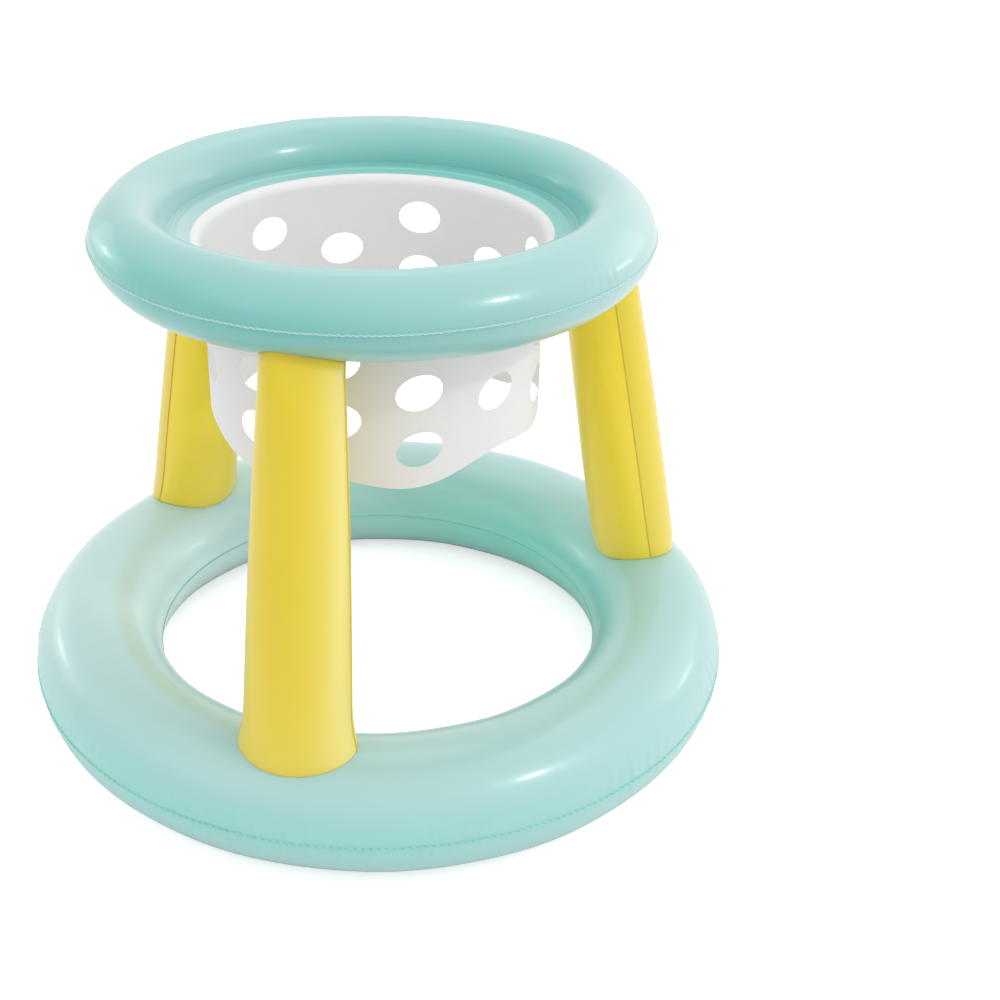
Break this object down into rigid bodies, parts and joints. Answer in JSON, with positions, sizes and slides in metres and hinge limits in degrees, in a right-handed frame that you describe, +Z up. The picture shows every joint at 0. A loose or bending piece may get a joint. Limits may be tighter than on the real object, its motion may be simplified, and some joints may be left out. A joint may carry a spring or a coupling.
{
  "type": "floating basketball hoop",
  "caption": "Inflated pool basketball hoop: a wide floating base ring and tapered air columns carry a smaller hoop ring with a punched vinyl net inside it.",
  "frame": {"origin": "centre of the base ring, on the surface that it rests or floats on", "axes": "+Z up, along the common axis of both rings; the first leg stands at -105 degrees from +X, and the valves at +75 degrees"},
  "size_m": [0.67, 0.67, 0.5045],
  "materials": {
    "mint_vinyl": "glossy flexible vinyl film, mint green",
    "yellow_vinyl": "glossy flexible vinyl film, lemon yellow",
    "net_vinyl": "satin white vinyl sheet",
    "valve_vinyl": "soft milky moulded vinyl"
  },
  "bodies": {
    "root": {"base_ring_upper_panel": "mint_vinyl", "base_ring_lower_panel": "mint_vinyl", "hoop_ring_upper_panel": "mint_vinyl", "hoop_ring_lower_panel": "mint_vinyl", "leg_1_outer_panel": "yellow_vinyl", "leg_1_inner_panel": "yellow_vinyl", "leg_2_outer_panel": "yellow_vinyl", "leg_2_inner_panel": "yellow_vinyl", "leg_3_outer_panel": "yellow_vinyl", "leg_3_inner_panel": "yellow_vinyl", "net": "net_vinyl", "base_valve_flange": "valve_vinyl", "base_valve_skirt": "valve_vinyl", "hoop_valve_flange": "valve_vinyl", "hoop_valve_skirt": "valve_vinyl"},
    "base_valve_stem": {"base_valve_stem": "valve_vinyl"},
    "base_valve_stopper": {"base_valve_stopper": "valve_vinyl"},
    "base_valve_flap": {"base_valve_flap": "valve_vinyl"},
    "hoop_valve_stem": {"hoop_valve_stem": "valve_vinyl"},
    "hoop_valve_stopper": {"hoop_valve_stopper": "valve_vinyl"},
    "hoop_valve_flap": {"hoop_valve_flap": "valve_vinyl"}
  },
  "joints": [
    {"name": "base_valve_slide", "type": "slide", "parent": "root", "child": "base_valve_stem", "axis": [0.1825, 0.681, 0.7092], "range_m": [0, 0.013], "deforming": ["base_valve_skirt"]},
    {"name": "base_valve_stopper_hinge", "type": "hinge", "parent": "base_valve_stem", "child": "base_valve_stopper", "pos_m": [0.08862, 0.30603, 0.0932], "axis": [0.1836, 0.685, -0.705], "range_deg": [0, 150]},
    {"name": "base_valve_flap_hinge", "type": "hinge", "parent": "base_valve_stem", "child": "base_valve_flap", "pos_m": [0.08337, 0.29568, 0.08178], "axis": [-0.1836, -0.685, 0.705], "range_deg": [0, 60], "stiffness_Nm_per_rad": 0.00004, "springref_deg": -11.46},
    {"name": "hoop_valve_slide", "type": "slide", "parent": "root", "child": "hoop_valve_stem", "axis": [0.1704, 0.6361, 0.7526], "range_m": [0, 0.013], "deforming": ["hoop_valve_skirt"]},
    {"name": "hoop_valve_stopper_hinge", "type": "hinge", "parent": "hoop_valve_stem", "child": "hoop_valve_stopper", "pos_m": [0.06622, 0.2224, 0.49458], "axis": [0.1948, 0.7269, -0.6585], "range_deg": [0, 150]},
    {"name": "hoop_valve_flap_hinge", "type": "hinge", "parent": "hoop_valve_stem", "child": "hoop_valve_flap", "pos_m": [0.06115, 0.21278, 0.48246], "axis": [-0.1948, -0.7269, 0.6585], "range_deg": [0, 60], "stiffness_Nm_per_rad": 0.00004, "springref_deg": -11.46}
  ]
}
